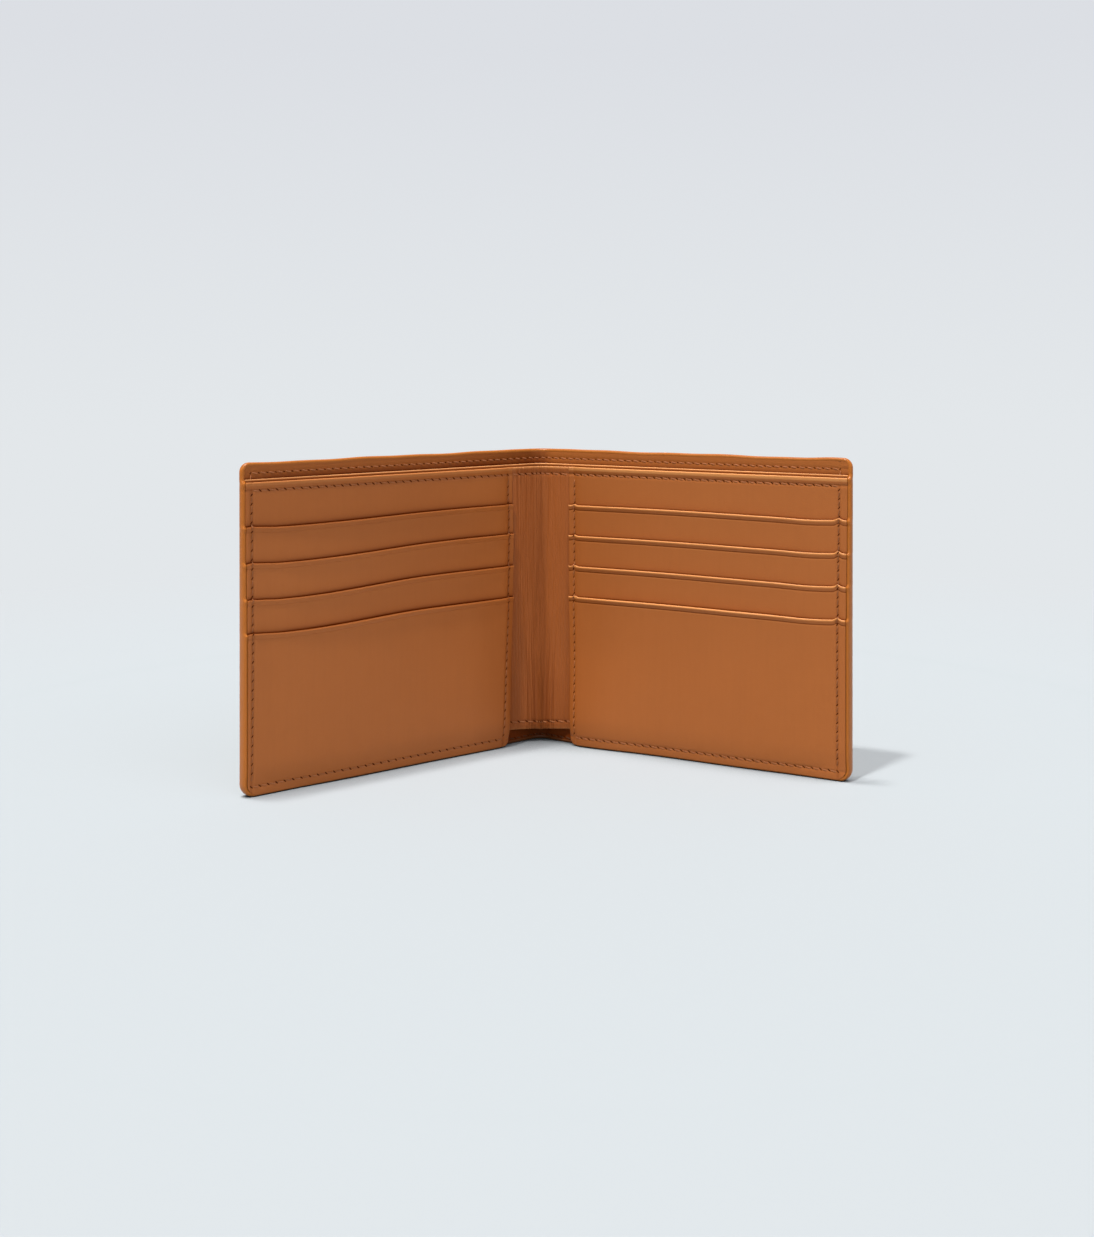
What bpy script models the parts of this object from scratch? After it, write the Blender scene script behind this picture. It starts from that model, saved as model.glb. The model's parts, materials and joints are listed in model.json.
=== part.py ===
"""Bifold wallet, standing open in a V on its bottom edges.

Two pocketed halves fold on a narrow spine. Every leather leaf that runs across the spine is cut at
the two fold lines into a left, a middle and a right piece, so that each half turns as one body.

Frame: +Z up, the wallet opens towards -Y, the origin is at the middle of its base.
A place on a half is (across, depth, up): across runs from the fold line to the outer edge, depth
from the cover's outer face inwards. The fold lines lie on the cover's outer face.
"""
import math

import bmesh
import bpy

# Driving dimensions, in metres
HEIGHT = 0.095
HALF_WIDTH = 0.100
SPINE_WIDTH = 0.0142
REST_ANGLE = math.radians(34.5)

# Leather thicknesses and the gaps between leaves
COVER_THICKNESS = 0.0011
LEAF_THICKNESS = 0.0004
PANEL_THICKNESS = 0.0005
POCKET_THICKNESS = 0.0004
FRONT_THICKNESS = 0.0005
LINING_GAP = 0.0002
BILL_GAP = 0.00025
POCKET_GAP = 0.00015
FOLD_GAP = 0.0003
MITRE_GAP = 0.0002

# Depth of each leaf's outward face, counted from the cover's outer face
LINING_DEPTH = COVER_THICKNESS + LINING_GAP
DIVIDER_DEPTH = LINING_DEPTH + LEAF_THICKNESS + BILL_GAP
PANEL_DEPTH = DIVIDER_DEPTH + LEAF_THICKNESS + BILL_GAP
PANEL_FACE = PANEL_DEPTH + PANEL_THICKNESS
POCKET_PITCH = POCKET_THICKNESS + POCKET_GAP

# Edges of the leaves
LINING_INSET = 0.0004
STACK_INSET = 0.0012
STACK_BOTTOM = 0.0008
DIVIDER_TOP = 0.0906
PANEL_TOP = 0.0897
STRIP_BOTTOM = 0.0038
TOP_CORNER_RADIUS = 0.002
BOTTOM_CORNER_RADIUS = 0.0033
CORNER_STEPS = 5
RIM_EDGE = 0.0002

# A turned edge is the leather folded over along a pocket's top: a low lip on its face
TURN_HEIGHT = 0.0014
TURN_RISE = 0.00025

# Where pieces start beside a fold, so that the halves close without touching the spine
COVER_START = COVER_THICKNESS + FOLD_GAP
LEAF_START = PANEL_FACE + FOLD_GAP
STACK_START = 0.0050

# Card pockets
POCKET_COUNT = 3
FIRST_SLOT = 0.0773
SLOT_PITCH = 0.0098
POCKET_DROP = 0.050
BAND_HEIGHT = 0.014
TONGUE_INSET = 0.0035

# Seams: each stitch is a half wave of the thread over the leather
THREAD_RADIUS = 0.00015
THREAD_CLEARANCE = 0.00005
STITCH_LENGTH = 0.0027
STITCH_RISE = 0.0001
TOP_SEAM_DROP = 0.00245
SIDE_SEAM = 0.0963
BOTTOM_SEAM = 0.0028
STACK_SEAM = STACK_START + 0.0019
SPINE_BOTTOM_SEAM = 0.0016
SEAM_CORNER_RADIUS = 0.0015
SEAM_END_GAP = 0.0008

STACK_END = HALF_WIDTH - STACK_INSET
SPINE_HALF = SPINE_WIDTH / 2 - COVER_START
THREAD_HEIGHT = THREAD_CLEARANCE + 2 * THREAD_RADIUS + STITCH_RISE

COVER_COLOUR = (0.42, 0.15, 0.035, 1.0)
INNER_COLOUR = (0.38, 0.13, 0.035, 1.0)
LINING_COLOUR = (0.33, 0.11, 0.03, 1.0)
THREAD_COLOUR = (0.50, 0.22, 0.10, 1.0)
LEATHER_ROUGHNESS = 0.45
THREAD_ROUGHNESS = 0.7


def clear_scene():
    for old in list(bpy.data.objects):
        bpy.data.objects.remove(old)


def make_material(name, colour, roughness):
    material = bpy.data.materials.new(name)
    material.use_nodes = True
    shader = material.node_tree.nodes["Principled BSDF"]
    shader.inputs["Base Color"].default_value = colour
    shader.inputs["Roughness"].default_value = roughness
    shader.inputs["Metallic"].default_value = 0.0
    return material


def slot_height(number):
    """Height of a pocket's top edge: 1 is the uppermost, POCKET_COUNT + 1 the front pocket."""
    return FIRST_SLOT - (number - 1) * SLOT_PITCH


def pocket_depth(number):
    """Depth of a pocket's outward face."""
    return PANEL_FACE + POCKET_GAP + (number - 1) * POCKET_PITCH


def pocket_face(number):
    """Depth of the face that shows on a pocket; number 0 is the bare inner panel."""
    if number == 0:
        return PANEL_FACE
    if number <= POCKET_COUNT:
        return pocket_depth(number) + POCKET_THICKNESS
    return pocket_depth(number) + FRONT_THICKNESS


def stack_face(up):
    """Depth that a thread lies on at a height of the stack, one half stitch clear of each edge."""
    reach = STITCH_LENGTH / 2 + 2 * THREAD_RADIUS
    depth = pocket_face(0)
    for number in range(1, POCKET_COUNT + 2):
        edge = slot_height(number)
        if up < edge + reach:
            depth = pocket_face(number)
            if up > edge - TURN_HEIGHT - reach:
                depth += TURN_RISE
    return depth


def middle_y():
    """How far the V is moved back to bring the middle of its depth to the origin."""
    inmost = pocket_face(POCKET_COUNT + 1) + TURN_RISE
    nearest = STACK_END * math.sin(REST_ANGLE) + inmost * math.cos(REST_ANGLE)
    return (nearest - THREAD_HEIGHT) / 2


def fold_empty(name, side):
    """An empty on a fold line: side is -1 for the left half, +1 for the right half."""
    empty = bpy.data.objects.new(name, None)
    bpy.context.collection.objects.link(empty)
    empty.location = (side * SPINE_WIDTH / 2, middle_y(), 0.0)
    empty.rotation_euler = (0.0, 0.0, -side * REST_ANGLE)
    return empty


def spine_empty():
    empty = bpy.data.objects.new("spine_frame", None)
    bpy.context.collection.objects.link(empty)
    empty.location = (0.0, middle_y(), 0.0)
    return empty


def arc(centre_across, centre_up, radius, start, end):
    """Points of a corner's arc from one angle to another, in degrees."""
    points = []
    for step in range(CORNER_STEPS + 1):
        angle = math.radians(start + (end - start) * step / CORNER_STEPS)
        across = centre_across + radius * math.cos(angle)
        points.append((across, centre_up + radius * math.sin(angle)))
    return points


def rectangle(start, end, bottom, top):
    return [(start, bottom), (end, bottom), (end, top), (start, top)]


def round_corner(outline, index, radius):
    """Rounds the bottom (index 1) or top (index 2) outer corner of a rectangle."""
    across, up = outline[index]
    if index == 1:
        points = arc(across - radius, up + radius, radius, -90, 0)
    else:
        points = arc(across - radius, up - radius, radius, 0, 90)
    outline[index:index + 1] = points
    return outline


def rim_outline(start, inset):
    """The outline of the cover or the lining, with both outer corners rounded."""
    outline = rectangle(start, HALF_WIDTH - inset, inset, HEIGHT - inset)
    round_corner(outline, 2, TOP_CORNER_RADIUS - inset)
    return round_corner(outline, 1, BOTTOM_CORNER_RADIUS - inset)


def stack_outline(start, top):
    """The outline of a leaf sewn into the pocket stack, with its bottom outer corner rounded."""
    outline = rectangle(start, STACK_END, STACK_BOTTOM, top)
    return round_corner(outline, 1, BOTTOM_CORNER_RADIUS - STACK_INSET)


def tee_outline(top):
    """A T-pocket: a full-width band at the slot, then a narrower tongue."""
    band = top - BAND_HEIGHT
    bottom = top - POCKET_DROP
    left = STACK_START + TONGUE_INSET
    right = STACK_END - TONGUE_INSET
    return [
        (STACK_START, top),
        (STACK_START, band),
        (left, band),
        (left, bottom),
        (right, bottom),
        (right, band),
        (STACK_END, band),
        (STACK_END, top),
    ]


def raise_turned_edge(shape, top, face_y):
    """Raises a lip along the top of a leaf's inward face."""
    geometry = shape.verts[:] + shape.edges[:] + shape.faces[:]
    fold_line = (0.0, 0.0, top - TURN_HEIGHT)
    bmesh.ops.bisect_plane(shape, geom=geometry, plane_co=fold_line, plane_no=(0, 0, 1))
    strip = []
    for face in shape.faces:
        centre = face.calc_center_median()
        if abs(centre.y - face_y) < THREAD_CLEARANCE and centre.z > top - TURN_HEIGHT:
            strip.append(face)
    grown = bmesh.ops.extrude_face_region(shape, geom=strip)
    moved = [item for item in grown["geom"] if isinstance(item, bmesh.types.BMVert)]
    bmesh.ops.translate(shape, verts=moved, vec=(0.0, -TURN_RISE, 0.0))
    bmesh.ops.delete(shape, geom=strip, context="FACES_ONLY")


def plate(name, parent, side, outline, depth, thickness, colour, turned_top=None):
    """A leaf of leather: an outline in (across, up), given a thickness in depth."""
    shape = bmesh.new()
    rim = [shape.verts.new((side * across, -depth, up)) for across, up in outline]
    face = shape.faces.new(rim)
    grown = bmesh.ops.extrude_face_region(shape, geom=[face])
    moved = [item for item in grown["geom"] if isinstance(item, bmesh.types.BMVert)]
    bmesh.ops.translate(shape, verts=moved, vec=(0.0, -thickness, 0.0))
    bmesh.ops.recalc_face_normals(shape, faces=shape.faces)
    if turned_top is not None:
        raise_turned_edge(shape, turned_top, -depth - thickness)
        bmesh.ops.recalc_face_normals(shape, faces=shape.faces)
    mesh = bpy.data.meshes.new(name)
    shape.to_mesh(mesh)
    shape.free()
    leaf = bpy.data.objects.new(name, mesh)
    bpy.context.collection.objects.link(leaf)
    leaf.parent = parent
    leaf.data.materials.append(make_material(name, colour, LEATHER_ROUGHNESS))
    return leaf


def finish_cover(cover, square, sharp):
    """Slopes the cover's fold edges, which on the outer face run on from square to sharp, and
    rounds its rim a little."""
    for vertex in cover.data.vertices:
        on_outer_face = vertex.co.y > -COVER_THICKNESS / 2
        if on_outer_face and math.isclose(abs(vertex.co.x), square, rel_tol=1e-4):
            vertex.co.x = math.copysign(sharp, vertex.co.x)
    bevel = cover.modifiers.new("worn_rim", "BEVEL")
    bevel.width = RIM_EDGE
    bevel.segments = 2
    bevel.limit_method = "ANGLE"


def half_stitches(route):
    """Points one half stitch apart along a route of (across, up) points."""
    lengths = [math.dist(a, b) for a, b in zip(route, route[1:])]
    count = max(2, round(sum(lengths) / (STITCH_LENGTH / 2)))
    count += count % 2
    points = []
    for index in range(count + 1):
        left = sum(lengths) * index / count
        run = 0
        while run < len(lengths) - 1 and left > lengths[run]:
            left -= lengths[run]
            run += 1
        share = min(1.0, left / lengths[run])
        (across_a, up_a), (across_b, up_b) = route[run], route[run + 1]
        across = across_a + (across_b - across_a) * share
        points.append((across, up_a + (up_b - up_a) * share))
    return points


def thread(name, parent, side, route, face, inward=1):
    """A seam's thread on a face whose depth is face(up), on the leaf's inward or outward side."""
    curve = bpy.data.curves.new(name, "CURVE")
    curve.dimensions = "3D"
    curve.bevel_depth = THREAD_RADIUS
    curve.bevel_resolution = 0
    curve.use_fill_caps = True
    places = half_stitches(route)
    spline = curve.splines.new("POLY")
    spline.points.add(len(places) - 1)
    for index, (across, up) in enumerate(places):
        lift = THREAD_CLEARANCE + THREAD_RADIUS + STITCH_RISE * (index % 2)
        depth = face(up) + inward * lift
        spline.points[index].co = (side * across, -depth, up, 1.0)
    seam = bpy.data.objects.new(name, curve)
    bpy.context.collection.objects.link(seam)
    seam.parent = parent
    seam.data.materials.append(make_material(name, THREAD_COLOUR, THREAD_ROUGHNESS))
    return seam


def cover_face(up):
    return 0.0


def lining_face(up):
    return LINING_DEPTH + LEAF_THICKNESS


def panel_face(up):
    return PANEL_FACE


def pocket_seam(name, parent, side):
    """The thread round a pocket stack: beside the spine, bottom, outer side, top."""
    top = PANEL_TOP - TOP_SEAM_DROP
    radius = SEAM_CORNER_RADIUS
    route = [(STACK_SEAM, top), (STACK_SEAM, BOTTOM_SEAM)]
    route += arc(SIDE_SEAM - radius, BOTTOM_SEAM + radius, radius, -90, 0)
    route += arc(SIDE_SEAM - radius, top - radius, radius, 0, 90)
    route.append((STACK_SEAM + SEAM_END_GAP, top))
    thread(name, parent, side, route, stack_face)


def cover_seam(name, parent, side):
    """The same seams on the cover's outer face: top, outer side and bottom in one U."""
    top = HEIGHT - TOP_SEAM_DROP
    radius = SEAM_CORNER_RADIUS
    route = [(COVER_START, top)]
    route += arc(SIDE_SEAM - radius, top - radius, radius, 90, 0)
    route += arc(SIDE_SEAM - radius, BOTTOM_SEAM + radius, radius, 0, -90)
    route.append((COVER_START, BOTTOM_SEAM))
    thread(name, parent, side, route, cover_face, inward=-1)


def lining_seam(name, parent, side):
    """The row along the top of the lining, turning down at the outer corner."""
    top = HEIGHT - TOP_SEAM_DROP
    radius = SEAM_CORNER_RADIUS
    route = [(LEAF_START + SEAM_END_GAP, top)]
    route += arc(SIDE_SEAM - radius, top - radius, radius, 90, 0)
    thread(name, parent, side, route, lining_face)


def build_half(name, side):
    fold = fold_empty(name + "_fold", side)
    outline = rim_outline(COVER_START, 0.0)
    cover = plate("cover_" + name, fold, side, outline, 0.0, COVER_THICKNESS, COVER_COLOUR)
    finish_cover(cover, COVER_START, MITRE_GAP)
    outline = rim_outline(LEAF_START, LINING_INSET)
    plate("lining_" + name, fold, side, outline, LINING_DEPTH, LEAF_THICKNESS, LINING_COLOUR)
    outline = stack_outline(LEAF_START, DIVIDER_TOP)
    node = "bill_divider_" + name
    plate(node, fold, side, outline, DIVIDER_DEPTH, LEAF_THICKNESS, LINING_COLOUR)
    outline = stack_outline(LEAF_START, PANEL_TOP)
    node = "inner_panel_" + name
    plate(node, fold, side, outline, PANEL_DEPTH, PANEL_THICKNESS, INNER_COLOUR, PANEL_TOP)
    for number in range(1, POCKET_COUNT + 1):
        top = slot_height(number)
        depth = pocket_depth(number)
        node = "card_pocket_%d_%s" % (number, name)
        plate(node, fold, side, tee_outline(top), depth, POCKET_THICKNESS, INNER_COLOUR, top)
    top = slot_height(POCKET_COUNT + 1)
    depth = pocket_depth(POCKET_COUNT + 1)
    outline = stack_outline(STACK_START, top)
    plate("front_pocket_" + name, fold, side, outline, depth, FRONT_THICKNESS, INNER_COLOUR, top)
    pocket_seam("pocket_seam_" + name, fold, side)
    cover_seam("cover_seam_" + name, fold, side)
    lining_seam("lining_seam_" + name, fold, side)


def spine_plate(name, parent, bottom, top, depth, thickness, colour, turned_top=None):
    outline = rectangle(-SPINE_HALF, SPINE_HALF, bottom, top)
    return plate(name, parent, 1, outline, depth, thickness, colour, turned_top)


def spine_row(name, parent, up, face, inward=1):
    """A straight run of stitches across the spine."""
    reach = SPINE_HALF - SEAM_END_GAP
    thread(name, parent, 1, [(-reach, up), (reach, up)], face, inward)


def build_spine():
    frame = spine_empty()
    cover = spine_plate("cover_spine", frame, 0.0, HEIGHT, 0.0, COVER_THICKNESS, COVER_COLOUR)
    finish_cover(cover, SPINE_HALF, SPINE_WIDTH / 2 - MITRE_GAP)
    low = LINING_INSET
    high = HEIGHT - LINING_INSET
    spine_plate("lining_spine", frame, low, high, LINING_DEPTH, LEAF_THICKNESS, LINING_COLOUR)
    low = STRIP_BOTTOM
    high = DIVIDER_TOP
    node = "bill_divider_spine"
    spine_plate(node, frame, low, high, DIVIDER_DEPTH, LEAF_THICKNESS, LINING_COLOUR)
    high = PANEL_TOP
    node = "centre_strip"
    spine_plate(node, frame, low, high, PANEL_DEPTH, PANEL_THICKNESS, INNER_COLOUR, high)
    top = HEIGHT - TOP_SEAM_DROP
    spine_row("cover_seam_spine_top", frame, top, cover_face, inward=-1)
    spine_row("cover_seam_spine_bottom", frame, SPINE_BOTTOM_SEAM, cover_face, inward=-1)
    spine_row("lining_seam_spine_top", frame, top, lining_face)
    spine_row("lining_seam_spine_bottom", frame, SPINE_BOTTOM_SEAM, lining_face)
    spine_row("strip_seam_top", frame, PANEL_TOP - TOP_SEAM_DROP, panel_face)
    spine_row("strip_seam_bottom", frame, STRIP_BOTTOM + TOP_SEAM_DROP, panel_face)


clear_scene()
build_spine()
build_half("left", -1)
build_half("right", 1)
bpy.context.view_layer.update()
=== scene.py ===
"""The looks of the bifold wallet: leather leaves with turned edges, painted rims and stitched seams.

Sizes are in millimetres until place() turns them into the frame's metres. A place on a half is
(across, depth, up): across runs from the fold line to the outer edge, depth from the cover's outer
face inwards, and up from the floor. Leaves that run over the spine follow one arc between the
halves, and are cut at its middle into one part for each half.
"""

from functools import partial
import json
import math

import bmesh
import bpy
import numpy as np
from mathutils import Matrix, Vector


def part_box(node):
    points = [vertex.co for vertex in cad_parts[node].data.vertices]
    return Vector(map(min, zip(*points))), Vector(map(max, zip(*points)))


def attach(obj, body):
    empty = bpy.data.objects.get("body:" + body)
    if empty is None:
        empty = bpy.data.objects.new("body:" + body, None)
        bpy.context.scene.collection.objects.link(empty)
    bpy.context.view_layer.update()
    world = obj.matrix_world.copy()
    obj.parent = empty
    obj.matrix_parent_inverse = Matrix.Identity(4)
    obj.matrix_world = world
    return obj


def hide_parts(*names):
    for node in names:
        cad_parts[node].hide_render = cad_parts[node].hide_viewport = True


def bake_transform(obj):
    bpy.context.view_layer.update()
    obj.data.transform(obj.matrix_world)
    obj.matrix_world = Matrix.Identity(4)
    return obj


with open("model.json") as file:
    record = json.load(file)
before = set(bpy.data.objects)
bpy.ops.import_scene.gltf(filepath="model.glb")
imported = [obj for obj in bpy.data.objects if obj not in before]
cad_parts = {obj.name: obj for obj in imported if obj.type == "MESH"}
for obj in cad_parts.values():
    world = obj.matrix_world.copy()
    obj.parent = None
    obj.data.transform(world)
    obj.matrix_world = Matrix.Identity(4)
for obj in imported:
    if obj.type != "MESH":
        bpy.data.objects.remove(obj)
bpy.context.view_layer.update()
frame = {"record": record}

MM = 0.001

# The frame: fold lines, opening angle and height
FOLD = next(j for j in frame["record"]["behaviour"]["joints"] if j["name"] == "right_fold")
FOLD_X = FOLD["pos_m"][0] / MM
FOLD_Y = FOLD["pos_m"][1] / MM
REST_ANGLE = -math.radians(FOLD["range_deg"][0])
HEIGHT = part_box("cover_spine")[1][2] / MM

# In every table with the keys -1 and 1, -1 is the left half and 1 the right one
SIDE_NAME = {-1: "left", 1: "right"}
HALF_WIDTH = {-1: 100.0, 1: 100.5}

# The arc that the cover's outer face takes round the spine
ARC_RADIUS = 7.5
ARC_END = (ARC_RADIUS * math.sin(REST_ANGLE) - FOLD_X) / math.cos(REST_ANGLE)
ARC_Y = FOLD_Y - ARC_END * math.sin(REST_ANGLE) - ARC_RADIUS * math.cos(REST_ANGLE)
MIDDLE = ARC_END - ARC_RADIUS * REST_ANGLE

# Where a leaf over the spine would bend, BEND_START past its middle to BEND_END past the fold line;
# bend_at_fold works these out but does not use them
BEND_START = 1.2
BEND_END = 4.2

# Depths of the leaves, from the outward to the inward face
COVER = (0.0, 1.1)
LINING = (1.25, 1.7)
DIVIDER = (1.95, 2.3)
STRIP = (2.4, 2.95)
PANEL = (2.6, 3.1)
FIRST_POCKET = 3.22
POCKET_PITCH = 0.55
POCKET_THICKNESS = 0.42

# Heights and ends of the leaves
DIVIDER_TOP = 90.55
PANEL_TOP = 89.7
STRIP_BOTTOM = 4.3
SLOT_TOP = 77.3
SLOT_PITCH = 9.8
POCKET_COUNT = 3
BAND_HEIGHT = 14.0
POCKET_DROP = 50.0
TONGUE_INSET = 3.5
STACK_START = {-1: 4.5, 1: 4.1}
STACK_END = {-1: 98.95, 1: 99.4}
STRIP_END = 6.2
LEAF_INSET = 0.45
TOP_CORNER = 2.8
BOTTOM_CORNER = 3.4
INNER_CORNER = 1.8

# The cover's top edge stands proud by RIM_LIFT and waves; the wave dies out down to WAVE_FOOT
RIM_LIFT = 0.28
WAVE_FOOT = 80.0
WAVE_RISE = 15.0

# How far in from its edge a leaf is rounded
SHELL_NOSE = 0.5
LINING_NOSE = 0.3
DIVIDER_NOSE = 0.2
STRIP_NOSE = 0.3
PANEL_NOSE = 0.32
POCKET_NOSE = 0.34

# A turned edge by the distance below its top: a bead that falls back to a crease, then the face
TURN_BELOW = (0.0, 0.4, 0.85, 1.35, 1.6, 1.8, 2.1)
TURN_RELIEF = (0.30, 0.34, 0.24, 0.05, -0.09, -0.03, 0.0)
CREASE = 1.6

# Seams: where each row runs, and how its stitches and holes lie. The lining's row beside its outer
# corner starts CORNER_GAP below the top row and ends CORNER_REACH below the divider's top
TOP_SEAM_DROP = 2.4
COVER_SEAM_DROP = 2.7
BOTTOM_SEAM = 3.0
FOOT_SEAM = 1.6
FOOT_SEAM_END = 5.6
OUTER_SEAM = {-1: 97.0, 1: 96.8}
OUTER_SEAM_DRIFT = {-1: 0.8, 1: 0.0}
INNER_SEAM = {-1: 6.25, 1: 6.1}
ROW_START = MIDDLE + 0.1
ROW_GAP = 1.2
CORNER_GAP = 0.4
CORNER_REACH = 0.6
STITCH_PITCH = 2.68
STITCH_LENGTH = 1.9
STITCH_SLANT = math.radians(-12.0)
HOLE_SLANT = math.radians(-40.0)
THREAD_RADIUS = 0.16
SEAM_GROOVE = 0.15
SEAM_WIDTH = 0.5

# The slots' edges on the left sag towards the outer side; those on the right are nearly level
LEFT_START = (0.45, 0.75, 0.35, 0.1)
LEFT_SAG = (0.75, 1.35, 1.95, 1.75)
LEFT_LIFT = 0.45
RIGHT_WAVE = 0.28
PULL = {-1: 0.15, 1: 0.65}

# The stacks' spine sides lean away from the spine towards the floor, and their seams with them
LEAN = {-1: 3.2, 1: 2.4}
LEAN_TOP = {-1: 68.0, 1: 90.0}
LEAN_CURVE = 1.1
LEAN_FADE = 16.0
SEAM_LEAN = {-1: 3.9, 1: 2.2}
SEAM_LEAN_CURVE = 1.05
SEAM_LEAN_RISE = 3.0

# Near the floor the halves bow inwards beside the spine
BOW = {-1: 0.5, 1: 1.7}
BOW_PLACE = 12.0
BOW_WIDTH = 16.0
BOW_TOP = 34.0
BOW_START = 7.0

# How far the seams press the stack together, as shares of its thickness
RIM_SQUEEZE = 0.28
SPINE_SQUEEZE = 0.20
FOOT_SQUEEZE = 0.20
MOST_SQUEEZE = 0.36

# How far a slot's mouth gapes, and how full the front pocket is
MOUTH_GAPE = 0.30
FRONT_CROWN = 0.25

# The panel's and the strip's turned edges are wider than a pocket's
WIDE_TURN = 0.75

# Painted light on the stacks: highlight on the right half's slot edges, shade just above each slot's
# edge and at the outer ends, and the share of the seam grooves' painted shade on their threads
PAINTED_SLOT_HIGHLIGHT = {-1: 0.0, 1: 0.62}
SHADE_NEAR = {-1: 1.1, 1: 0.9}
SHADE_REACH = {-1: 0.42, 1: 0.24}
SHADE_WIDE = {-1: 0.16, 1: 0.05}
END_SHADE = {-1: 0.08, 1: 0.10}
STACK_SEAM_SHADE = 1.6


def smooth(share):
    """An even step from 0 to 1 while share runs from 0 to 1."""
    share = np.clip(share, 0.0, 1.0)
    return share * share * (3.0 - 2.0 * share)


def bell(offset, width):
    """1 at no offset, falling off within a width or two."""
    return np.exp(-np.square(offset / width))


def bow(side, across, up):
    """The lower spine side of a half stands a little proud of its flat."""
    rise = BOW[side] * bell(across - BOW_PLACE, BOW_WIDTH) * smooth((BOW_TOP - up) / BOW_TOP)
    return rise * smooth((across - MIDDLE) / BOW_START)


def place(side, across, depth, up):
    """Places in the frame, in metres, of points on a half or on the spine's arc."""
    across, depth, up = np.broadcast_arrays(across, depth, up)
    turned = np.clip(REST_ANGLE - (ARC_END - across) / ARC_RADIUS, 0.0, REST_ANGLE)
    past = np.maximum(across - ARC_END, 0.0)
    reach = ARC_RADIUS - depth - bow(side, across, up)
    x = reach * np.sin(turned) + past * math.cos(REST_ANGLE)
    y = ARC_Y + reach * np.cos(turned) - past * math.sin(REST_ANGLE)
    return np.stack([side * x, y, up], axis=-1) * MM


# ---- shape of the stack

def inner_row(side, up):
    """Where the row of stitches beside the spine runs, by height."""
    drop = np.clip((LEAN_TOP[side] + SEAM_LEAN_RISE - up) / LEAN_TOP[side], 0.0, 1.0)
    return INNER_SEAM[side] + SEAM_LEAN[side] * np.power(drop, SEAM_LEAN_CURVE)


def outer_row(side, up):
    """Where the row of stitches beside the rim runs, by height."""
    return OUTER_SEAM[side] + OUTER_SEAM_DRIFT[side] * (1.0 - up / PANEL_TOP)


def lean_shift(side, up):
    """How far the stack's spine side stands off its upright line, by height."""
    drop = np.clip((LEAN_TOP[side] - up) / LEAN_TOP[side], 0.0, 1.0)
    return LEAN[side] * np.power(drop, LEAN_CURVE)


def lean(side, across, up):
    """The stack's spine side leans away from the spine towards the floor."""
    return lean_shift(side, up) * (1.0 - smooth((across - STACK_START[side]) / LEAN_FADE))


def slot_top(side, number, across):
    """Height of a slot's edge along its length: 1 is the uppermost, POCKET_COUNT + 1 the front."""
    level = SLOT_TOP - (number - 1) * SLOT_PITCH + 0.0 * across
    if side < 0:
        level = level + LEFT_START[number - 1] * (1.0 - smooth((across - 20.0) / 40.0))
        level = level - LEFT_SAG[number - 1] * smooth((across - 38.0) / 46.0)
        level = level + LEFT_LIFT * smooth((across - 88.0) / 9.0)
    else:
        wave = np.sin(across * math.pi / 70.0) * smooth((100.0 - across) / 20.0)
        level = level + RIGHT_WAVE * wave - 0.25 * bell(across - 88.0, 7.0)
    pull = bell(across - outer_row(side, level), 0.95)
    pull = pull + 0.5 * bell(across - inner_row(side, level), 0.8)
    return level + PULL[side] * pull


def squeeze(across, up):
    """How far the seams press the stack together: 1 is its full thickness."""
    rim = RIM_SQUEEZE * smooth((across - 60.0) / 38.5)
    spine = SPINE_SQUEEZE * bell(across - 5.4, 2.4)
    foot = FOOT_SQUEEZE * smooth((8.0 - up) / 8.0)
    return 1.0 - np.minimum(MOST_SQUEEZE, rim + spine + foot)


def pressed(depth, across, up):
    """A depth inside the stack after the seams have pressed it."""
    return COVER[1] + (depth - COVER[1]) * squeeze(across, up)


def turned_edge(below):
    """Relief of a turned edge by the distance below its top."""
    return np.interp(below, TURN_BELOW, TURN_RELIEF)


def groove(offset):
    """How deep a seam presses its leaf at an offset from the row."""
    return SEAM_GROOVE * bell(offset, SEAM_WIDTH)


def stack_grooves(side, across, up):
    """The grooves of the rows that hold a stack, but for the one along its top."""
    rows = np.maximum(groove(across - outer_row(side, up)), groove(across - inner_row(side, up)))
    return np.maximum(rows, groove(up - BOTTOM_SEAM))


def pocket_depths(side, number, across, up):
    """Outward and inward depth of a card pocket or of the front pocket."""
    below = slot_top(side, number, across) - up
    outer = FIRST_POCKET + (number - 1) * POCKET_PITCH
    inner = outer + POCKET_THICKNESS + turned_edge(below)
    span = smooth((across - 9.0) / 12.0) * smooth((93.0 - across) / 12.0)
    mouth = MOUTH_GAPE * span * np.exp(-np.maximum(below, 0.0) / 3.5)
    crown = FRONT_CROWN * span * smooth((up - 4.0) / 20.0)
    lift = mouth + (crown if number > POCKET_COUNT else 0.0)
    dip = stack_grooves(side, across, up)
    return pressed(outer + mouth, across, up), pressed(inner + lift, across, up) - dip


def panel_depths(side, across, up):
    """Outward and inward depth of the inner panel."""
    below = PANEL_TOP - up
    inner = PANEL[1] + turned_edge(WIDE_TURN * below) * 0.9
    dip = stack_grooves(side, across, up) + groove(up - PANEL_TOP + TOP_SEAM_DROP)
    return pressed(PANEL[0] + 0.0 * up, across, up), pressed(inner, across, up) - dip


def wrinkles(side, across, up):
    """Fine upright creases of the centre strip: many from its top, a few from its foot."""
    total = 0.0 * (across + up)
    for number in range(11 if side < 0 else 7):
        line = MIDDLE + 0.6 + 1.05 * number + 0.3 * math.sin(2.3 * number)
        line = line + 0.12 * np.sin(up * 0.21 + number)
        low = PANEL_TOP - 17.0 - 9.0 * math.sin(1.7 * number + side)
        fade = smooth((up - low) / 12.0) * (0.6 + 0.4 * math.cos(2.9 * number))
        total = total + fade * bell(across - line, 0.15)
        if number < 5:
            line = ARC_END + 0.5 + 0.62 * number + 0.15 * np.sin(up * 0.15 + 2.0 * number)
            foot = smooth((34.0 + 9.0 * math.sin(2.1 * number) - up) / 14.0)
            total = total + 0.8 * foot * bell(across - line, 0.15)
    return total


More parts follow.
